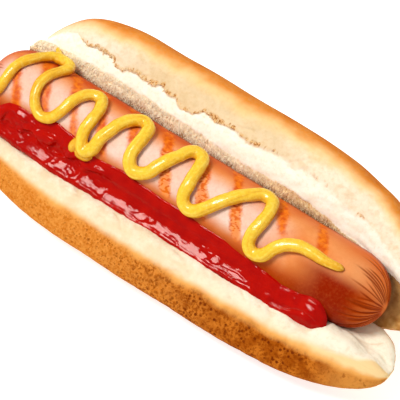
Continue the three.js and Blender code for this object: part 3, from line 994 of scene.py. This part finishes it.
def heel_crust_colour(paint, height, fine):
    """Brown bottom crust with dark pores, paler where it meets the crumb."""
    place, hole = paint.held("place", "hole")
    dark = paint.grain(4, 4).between(0.35, 0.65, (198, 110, 28), (162, 78, 8))
    mottle = paint.grain(0.9, 3, 0.6).spread(0.5, 0.62) * place.spread(54, 66, 0.7, 0.2)
    some = place.spread(-50, 0, 0.25, 0.8) * place.spread(50, 62, 1, 0.1)
    many = place.spread(-24, 24, 0, 0.9) * place.spread(50, 60, 1, 0)
    colour = coats(
        fine.between(0.3, 0.7, (226, 146, 62), (206, 120, 38)),
        (place.spread(-30, 40), dark),
        (place.spread(54, 72), (216, 142, 62)),
        (mottle, place.between(-40, 20, (200, 108, 22), (140, 60, 2))),
        (paint.pocks(0.95, 0.2, 0.42, 1.8) * some, (140, 62, 0)),
        (paint.pocks(1.6, 0.22, 0.4, 3.0) * many, (108, 38, 2)),
        (hole.spread(0.2, 0.9, 0, 0.5), (128, 52, 0)),
    )
    colour = coats((238, 168, 86), (height.spread(8.8, 9.4), colour))
    return coats((248, 212, 152), (height.spread(8.3, 8.95), colour))


def bun_material():
    """Bread: crumb, cut wall and two crusts, each where the mesh holds that it is."""
    paint = Paint("bread")
    place, corner, wall, pit, crease, heel, crust = paint.held(
        "place", "corner", "wall", "pit", "crease", "heel", "crust"
    )
    fine = paint.grain(1.2, 4, 0.6)
    height = corner + (paint.grain(8, 4) - 0.5) * 1.1
    crumb = coats(
        crumb_colour(paint, fine),
        ((wall + paint.grain(0.8, 3)).spread(0.7, 1.3), wall_colour(paint)),
        # Painted shade in the crumb's pits.
        (pit.spread(0.2, 1, 0, 0.2), (214, 178, 130)),
        # Painted shade along the heel's crease.
        (crease.spread(0.3, 1, 0, 0.4), (222, 186, 136)),
        # Painted shade: tan crumb in the hollow by the hinge at the right end.
        (
            height.spread(4.0, 3.2) * place.spread(58, 64),
            fine.between(0.35, 0.65, (232, 184, 116), (204, 146, 76)),
        ),
    )
    browned = coats(crown_colour(paint, height, fine), (heel, heel_crust_colour(paint, height, fine)))
    return paint.finished(
        coats(crumb, (crust, browned)),
        softness=(0.1, (1.0, 0.8, 0.6)),
        Roughness=0.85,
        Specular_IOR_Level=0.03,
        Normal=bumped(0.5, (fine, 0.22), (paint.grain(0.35, 2), 0.08)),
    )


def thread_material():
    """Threads as pale or brown as the wall that they lie on, and flakes of crust."""
    paint = Paint("bread_threads")
    shade, place, flake = paint.held("shade", "place", "flake")
    colour = coats(
        coats((255, 250, 226), (shade, (248, 230, 190))),
        (place.spread(-8, 22), coats((255, 238, 200), (shade, (232, 192, 136)))),
        (flake, coats((246, 218, 172), (shade, (206, 150, 84)))),
        (paint.grain(0.6, 3).spread(0.4, 0.8, 0, 0.3), (190, 150, 104)),
    )
    return paint.finished(colour, Roughness=0.9, Specular_IOR_Level=0.1)


# ---- The frankfurter ----


def sausage_stations():
    """Places along the frankfurter, close together over its gathered ends."""
    left, right = SAUSAGE["left"], SAUSAGE["right"]
    before, after = SAUSAGE_ENDS
    body = np.arange(left + before, right - after, SAUSAGE_SPACING)
    left_end = left + before * (1 - np.cos(np.linspace(0.02, math.pi / 2, 40)))
    right_end = right - after * (1 - np.cos(np.linspace(math.pi / 2, 0.02, 88)))
    return np.concatenate([left_end[:-1], body, right_end])


def grill_relief(x, degrees, points):
    """How far inside the grill marks each point is, and how blistered the skin is there."""
    inside, blistered = np.zeros(len(x)), np.zeros(len(x))
    ragged = layered(points, (0.9, 5, 30), (0.35, 1.8, 31))
    half = GRILL_WIDTH / 2
    for crossing, dark, blister, lowest in GRILL_MARKS:
        away = np.abs(x - crossing - GRILL_SLANT * degrees) + ragged
        mark = dark * fade(away, half - 1.6, half + 1.3) * fade(degrees, lowest - 10, lowest + 14)
        inside = np.maximum(inside, mark)
        wide = fade(away, half - 0.4, half + 1.1)
        blistered = np.maximum(blistered, wide * blister * fade(np.abs(degrees - 22), 22, 40))
    top = fade(np.abs(degrees + 5), 66, 92) * rise(x, -80, -73)
    return inside * top, blistered * top


def folds(x, degrees):
    """The gathered skin at each end: narrow folds of uneven length that run into the knot."""
    random = np.random.default_rng(11)
    depth = np.zeros(len(x))
    radius = np.maximum(sausage_radius(x), 0.5)
    for end, longest, count, deepest in FOLDED_ENDS:
        inward = np.abs(x - SAUSAGE[end])
        apart = 360 / count
        for k in range(count):
            middle = (k + random.uniform(-0.28, 0.28)) * apart - 180
            length = longest * random.uniform(0.5, 1.0)
            bend = random.normal(0, 0.7)
            deep = deepest * random.uniform(0.5, 1.0)
            around = (degrees - middle - bend * inward + 180) % 360 - 180
            gap = np.radians(np.abs(around)) * radius
            ends = fade(inward, 0.35 * length, length) * rise(inward, 0.05, 0.9)
            depth = np.maximum(depth, deep * ends * hump(gap, 0, 0.15 + 0.03 * inward))
    return depth


def make_sausage():
    """The frankfurter: a round bar with sunken, blistered grill marks and gathered ends."""
    stations = sausage_stations()
    rows, columns = len(stations), SAUSAGE_COLUMNS
    x = np.repeat(stations, columns)
    degrees = np.tile(np.arange(columns) * 360 / columns - 180, rows)
    points = on_sausage(x, degrees)
    mark, blistered = grill_relief(x, degrees, points)
    lines = np.minimum(np.abs(noise(points, 1.9, 32)), np.abs(noise(points, 3.1, 33)) + 0.08)
    bubbles = rise(lines, 0.03, 0.2)
    fold = folds(x, degrees)
    inward = SAUSAGE["right"] - x
    out = layered(points, (0.12, 26, 34), (0.05, 9, 35), (0.015, 1.5, 36))
    out += -0.16 * mark + blistered * (0.2 * bubbles - 0.05) - fold
    out += 0.12 * hump(inward, 0, 6) * noise(points, 3, 37)
    out -= 0.3 * sausage_radius(x) * np.exp(-inward / 1.1)
    low, high = box_of(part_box("sausage"))
    points = np.clip(on_sausage(x, degrees, out), low - 0.1, high + 0.1)
    sausage = make_object("frankfurter", points, [f[::-1] for f in capped_faces(rows, columns)])
    # fold also sets the painted shade in the folds and the painted highlight between them.
    values = {"mark": mark, "blister": blistered * bubbles, "scar": blistered * (1 - bubbles)}
    write_values(sausage.data, {**values, "fold": fold, "place": x, "turn": degrees})
    return sausage


def sausage_material():
    """Grilled skin with brown bars and blisters, a paler top that carries a painted highlight, and painted
    shade round the sides.
    """
    paint = Paint("frankfurter")
    mark, blister, scar, fold, place, turn = paint.held("mark", "blister", "scar", "fold", "place", "turn")
    blotch, fine = paint.grain(8, 4), paint.grain(0.9, 4, 0.6)
    # pale is a band of paler skin over the top that is also a painted highlight.
    pale = turn.spread(-26, 8) * turn.spread(36, 58, 1, 0)
    pale = pale * place.spread(18, 36, 1, 0) * blotch.spread(0.3, 0.65, 1, 0.7)
    behind = turn.spread(-54, -74, 0, 0.85).maths("ADD", turn.spread(150, 176, 0, 0.85), True)
    colour = coats(
        blotch.between(0.35, 0.65, (236, 152, 88), (228, 134, 68)),
        (pale, (234, 208, 190)),
        # Painted shade: darker orange down the front and underside.
        (turn.spread(36, 70), (176, 62, 0)),
        # Painted shade: darker, deeper orange at the back, under the crown's wall.
        (turn.spread(-14, -43) * place.spread(-36, 24, 1, 0.5), (202, 72, 4)),
        # At the right end: painted light on top and painted shade at the back.
        (place.spread(38, 56, 0, 0.8), turn.between(-46, -4, (220, 104, 36), (230, 150, 92))),
        (place.spread(-75, -81, 0, 0.8), (218, 98, 34)),
        # Painted shade: a dark patch low on the right end's front.
        (place.spread(32, 48) * turn.spread(4, 32), (142, 28, 0)),
        (place.spread(54, 64, 0, 0.6), (214, 92, 16)),
        # Painted shadow: dark along the back where the skin meets the crown's wall.
        (turn.spread(-44, -62, 0, 0.8), (150, 46, 0)),
        (fine.spread(0.4, 0.8, 0, 0.2), (206, 104, 48)),
    )
    char = paint.grain(1.6, 4).between(0.35, 0.65, (210, 80, 0), (236, 122, 14))
    colour = coats(
        colour,
        ((mark + (fine - 0.5) * 0.5).spread(0.05, 0.95, 0, 0.95), char),
        (blister.spread(0.3, 0.85, 0, 0.6), (240, 162, 98)),
        (scar.spread(0.25, 0.8, 0, 0.6), (206, 92, 14)),
        # Painted shade: darker at the back and underneath of the left end.
        (behind * place.spread(-80, -68), (158, 58, 4)),
        # Painted highlight on the ridges between the folds at the right end.
        (fold.spread(0.07, 0) * place.spread(57, 67, 0, 0.5), (236, 136, 70)),
        # Painted shade in the folds' grooves.
        (fold.spread(0.04, 0.3, 0, 0.8), (140, 42, 0)),
    )
    return paint.finished(
        colour,
        softness=(0.08, (1.5, 0.7, 0.4)),
        Roughness=0.33,
        Specular_IOR_Level=0.06,
        Specular_Tint=(1.0, 0.7, 0.45, 1.0),
        Normal=bumped(0.4, (fine, 0.05)),
    )


# ---- The ketchup ----


def ketchup_section(x, edge, swell, bulb):
    """One closed outline of the ketchup at x: a film on the frankfurter, a shelf and a bead.

    The edge is the film's top in degrees, swell its bulge over the heel and bulb its last drop.
    """
    radius = float(sausage_radius(np.array(x)))
    shrink = float(half_size(HEEL, np.array(x)))
    shrink_up = shrink + 0.6 * (1 - shrink) * (x < 0)
    core_y, core_z = HEEL["left_core"]

    def skin(degrees, lift):
        turn = math.radians(degrees)
        return (-(radius + lift) * math.sin(turn), SAUSAGE["axis_height"] + (radius + lift) * math.cos(turn))

    def resting(y, z):
        return (core_y + (y - core_y) * shrink, core_z + (z - core_z) * shrink_up)

    heap = 0.6 * float(fade(x, -46, -22))
    third = (82 - edge) / 3
    shelf = [skin(edge + third, 0.55), skin(edge + 2 * third, 1.0)]
    for y, y_heap, y_swell, z, z_heap, z_swell in KETCHUP_SHELF:
        shelf.append(resting(y + y_heap * heap - y_swell * swell, z + z_heap * heap - z_swell * swell))
    top_y, top_z = skin(edge, 0)
    bead = [(top_y - out, top_z - down + share * bulb) for out, down, share in KETCHUP_BEAD]
    bead += [resting(-18.7 - 0.6 * swell, 19.0 - 0.2 * swell), resting(-19.0 - 0.5 * swell, 17.5)]
    to_bead = float(rise(x, 20, 34))
    front = [(a + (c - a) * to_bead, b + (d - b) * to_bead) for (a, b), (c, d) in zip(shelf, bead)]
    knots = [
        skin(edge, -0.3),
        skin(edge + 1.6, 0.25 + 0.3 * bulb),
        *front,
        resting(-17.2, 14.9),
        resting(-14.0, 12.6),
        skin(112, 0.1),
        skin(104, -0.3),
        skin(90, -0.5),
        skin(0.5 * (edge + 90), -0.6),
    ]
    places = np.arange(KETCHUP_SIDES) * len(knots) / KETCHUP_SIDES
    return catmull_rom(knots, places, True), places


def ketchup_relief(points, knot):
    """Waves and small terraces on the shelf, tongues on the film at the left, a last crease."""
    place = points[:, 0] - ORIGIN[0]
    shelf = rise(knot, 4.0, 5.2) * fade(knot, 9.2, 10.2)
    film = rise(knot, 1.2, 2.4) * fade(knot, 4.4, 5.6)
    outer = rise(knot, 0.6, 2.0) * fade(knot, 9.2, 10.2)
    lively = 1 - 0.55 * rise(place, 24, 44)
    wild = fade(place, -40, -26)
    stretched = points * np.array([0.6, 1, 1])
    waves = layered(stretched, (0.08, 4, 54), (0.018, 1.6, 55)) + 0.006 * noise(points, 0.7, 56)
    waves += 0.17 * rise(noise(stretched, 3.0, 59), 0.12, 0.4)
    waves -= 0.12 * rise(noise(points, 2.0, 61), 0.2, 0.5)
    tongues = rise(noise(points * np.array([0.55, 1, 1]), 3.2, 62), -0.05, 0.3)
    lobes = rise(noise(points * np.array([0.8, 1, 1]), 2.2, 57), 0.0, 0.35)
    ridges = wild * (0.08 * lobes * shelf + film * (1.05 * tongues + 0.3 * lobes))
    out = shelf * lively * waves + ridges * outer + 0.03 * outer * noise(points, 9, 58)
    out += film * layered(points, (0.16, 5.5, 63), (0.05, 2.2, 64))
    crease = rise(place, 35, 40) * fade(place, 49, 52)
    return out - 0.5 * crease * hump(knot, 6.7 + 0.25 * np.sin(place / 2.5), 0.5)


def make_ketchup():
    """The ketchup: its outline swept along the bun, rounded at both ends, with soft ridges."""
    left, right = KETCHUP_ENDS
    ends = np.linspace(0.03, 0.25, 14)
    turn = np.concatenate([ends, np.linspace(0.26, math.pi - 0.26, 330), math.pi - ends[::-1]])
    x = left + (right - left) * (1 - np.cos(turn)) / 2
    along = along_only(x)
    edge = follow(x, KETCHUP_EDGE) + 2.5 * noise(along, 8, 50) + 1.2 * noise(along, 3, 51)
    swell = layered(along, (1.0, 13, 52), (0.7, 5, 53))
    swell += 0.35 * noise(along, 1.8, 60) * fade(x, 30, 44)
    bulb = sum(height * hump(x, middle, reach) for middle, reach, height in KETCHUP_BULBS)
    full = fullness(x - left, 7, 2) * fullness(right - x, 7, 2.2)
    rows = []
    for place, *shape, size in zip(x, edge, swell, bulb, full):
        outline, places = ketchup_section(place, *shape)
        core = np.array([-15.0, 16.5 + 2.2 * rise(place, 42, 50)])
        rows.append(np.column_stack([np.full(KETCHUP_SIDES, place), core + (outline - core) * size]))
    points = np.vstack(rows) + ORIGIN
    ketchup = make_object("ketchup_sauce", points, capped_faces(len(x), KETCHUP_SIDES))
    out = ketchup_relief(points, np.tile(places, len(x)))
    write_points(ketchup.data, points + read_normals(ketchup.data) * out[:, None])
    return ketchup


def ketchup_material():
    """Deep red and wet."""
    paint = Paint("ketchup")
    return paint.finished(
        paint.grain(4, 3).between(0.3, 0.7, (182, 10, 0), (166, 3, 0)),
        softness=(0.05, (1.0, 0.25, 0.15)),
        Roughness=0.08,
        Specular_IOR_Level=0.15,
        Specular_Tint=(1.0, 0.9, 0.8, 1.0),
        Normal=bumped(0.4, (paint.grain(0.9, stretch=2), 0.03)),
    )


# ---- The mustard ----


def sausage_axis(line):
    """The frankfurter's axis beside each point of a line."""
    return line * np.array([1, 0, 0]) + np.array([0, ORIGIN[1], SAUSAGE["axis_height"]])


def tube(centres, outwards, half_width, half_height, sides=20):
    """Points and faces of a closed bead along centres, with its height along outwards."""
    ahead = unit(np.gradient(centres, axis=0))
    outwards = unit(outwards - (outwards * ahead).sum(1, keepdims=True) * ahead)
    across = np.cross(ahead, outwards)
    turn = np.arange(sides) * 2 * math.pi / sides
    side = (across * half_width[:, None])[:, None] * np.cos(turn)[:, None]
    high = (outwards * half_height[:, None])[:, None] * np.sin(turn)[:, None]
    return (centres[:, None] + side + high).reshape(-1, 3), capped_faces(len(centres), sides)


def mustard_strand(path, width, height, start_dome, end_dome, seed, taper=0.0):
    """The bead laid on the frankfurter along a path of (x, degrees, lift), and its centre line."""
    path = np.array(path, float)
    centres = on_sausage(path[:, 0], path[:, 1], height / 2 - 0.35 + path[:, 2])
    dense = catmull_rom(centres, np.linspace(0, len(path) - 1, 60 * len(path)), False)
    run = lengths_along(dense)
    places = np.arange(0.03, run[-1] - 0.03, MUSTARD_STEP)
    line = np.stack([np.interp(places, run, dense[:, k]) for k in range(3)], 1)
    full = fullness(places, start_dome, 2) * fullness(run[-1] - places, end_dome, 2)
    full = full * (1 - taper * fade(run[-1] - places, 0, 14)) * follow(line[:, 0], MUSTARD_FULLNESS)
    along = along_only(places)
    full = full * (1 + 0.06 * noise(along, 9, seed) + 0.04 * noise(along, 3, seed + 1))
    outward = line - sausage_axis(line)
    line = line - unit(outward) * (height / 2 * np.clip(1 - full, 0, 0.75))[:, None]
    return tube(line, line - sausage_axis(line), width / 2 * full, height / 2 * full), line


def strokes_along(line, points):
    """Millimetres along the bead and round it, from the nearest place on its centre line."""
    tree = KDTree(len(line))
    for i, place in enumerate(line.tolist()):
        tree.insert(place, i)
    tree.balance()
    near = np.array([tree.find(p)[1] for p in points.tolist()])
    ahead = unit(np.gradient(line, axis=0))
    across = unit(np.cross(ahead, line - sausage_axis(line)))
    offset = points - line[near]
    side, high = (offset * across[near]).sum(1), (offset * np.cross(across, ahead)[near]).sum(1)
    return near * MUSTARD_STEP, 2 * np.arctan2(side, high)


def make_mustard():
    """The mustard: a zigzag bead and its odd bits in one skin, with faint streaks."""
    (points, faces), line = mustard_strand(*MUSTARD_BEAD, taper=MUSTARD_TAPER)
    for bit in MUSTARD_BITS:
        (more, quads), _ = mustard_strand(*bit)
        faces += [[len(points) + k for k in quad] for quad in quads]
        points = np.vstack([points, more])
    mustard = remeshed(make_object("mustard_sauce", points, faces), MUSTARD_VOXEL)
    mesh = mustard.data
    points = relaxed(mesh, read_points(mesh), 4)
    write_points(mesh, points)
    reach = np.linalg.norm(points - sausage_axis(points), axis=1)
    run, around = strokes_along(line, points)
    streaks = noise(np.stack([run / 7, around / 0.9, 0 * run], 1), 1, 72)
    # rise and streak also set where the mustard's material paints light and shade.
    write_values(mesh, {"rise": reach - sausage_radius(points[:, 0] - ORIGIN[0]), "streak": streaks})
    out = layered(points, (0.09, 3.5, 70), (0.03, 1.0, 71)) + 0.08 * streaks
    points = points + read_normals(mesh) * out[:, None]
    _, (_, _, top) = box_of(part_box("mustard"))
    points[:, 2] = np.minimum(points[:, 2], top)
    write_points(mesh, points)
    return mustard


def mustard_material():
    """Yellow on top of the bead and ochre where it thins out against the skin, partly its own colour and
    partly painted light and shade.
    """
    paint = Paint("mustard")
    high, streak = paint.held("rise", "streak")
    blotch, fine, fleck = paint.grain(3, 3), paint.grain(0.45, 3), paint.grain(1.1, 3)
    high = high + (blotch - 0.5) * 0.8
    colour = coats(
        # Ochre low down and lemon up high: partly the thin film's colour, partly painted shade and painted
        # light.
        high.between(0.2, 1.8, (178, 98, 0), (228, 162, 20)),
        (high.spread(1.9, 3.3), (246, 198, 48)),
        # Painted highlight on the raised streaks and painted shade in the grooves between them.
        (streak.spread(0.1, 0.7, 0, 0.6), (255, 220, 84)),
        (streak.spread(-0.1, -0.7, 0, 0.5), (214, 144, 10)),
        (fine.spread(0.5, 0.75, 0, 0.3), (208, 140, 18)),
        (fleck.spread(0.5, 0.68, 0, 0.25), (255, 228, 110)),
        (fleck.spread(0.48, 0.32, 0, 0.25), (222, 158, 20)),
    )
    return paint.finished(
        colour,
        softness=(0.06, (1.2, 0.8, 0.2)),
        Roughness=0.2,
        Specular_IOR_Level=0.5,
        Normal=bumped(0.5, (fleck, 0.07), (fine, 0.07)),
    )


# ---- Assembly ----

make_camera()
make_stage()
bread, bread_looks = make_bun()
install(bread, "bun", bun_material())
threads = make_threads(bread, bread_looks)
threads.data.materials.append(thread_material())
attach(threads, BODY)
install(make_sausage(), "sausage", sausage_material())
install(make_ketchup(), "ketchup", ketchup_material())
install(make_mustard(), "mustard", mustard_material())
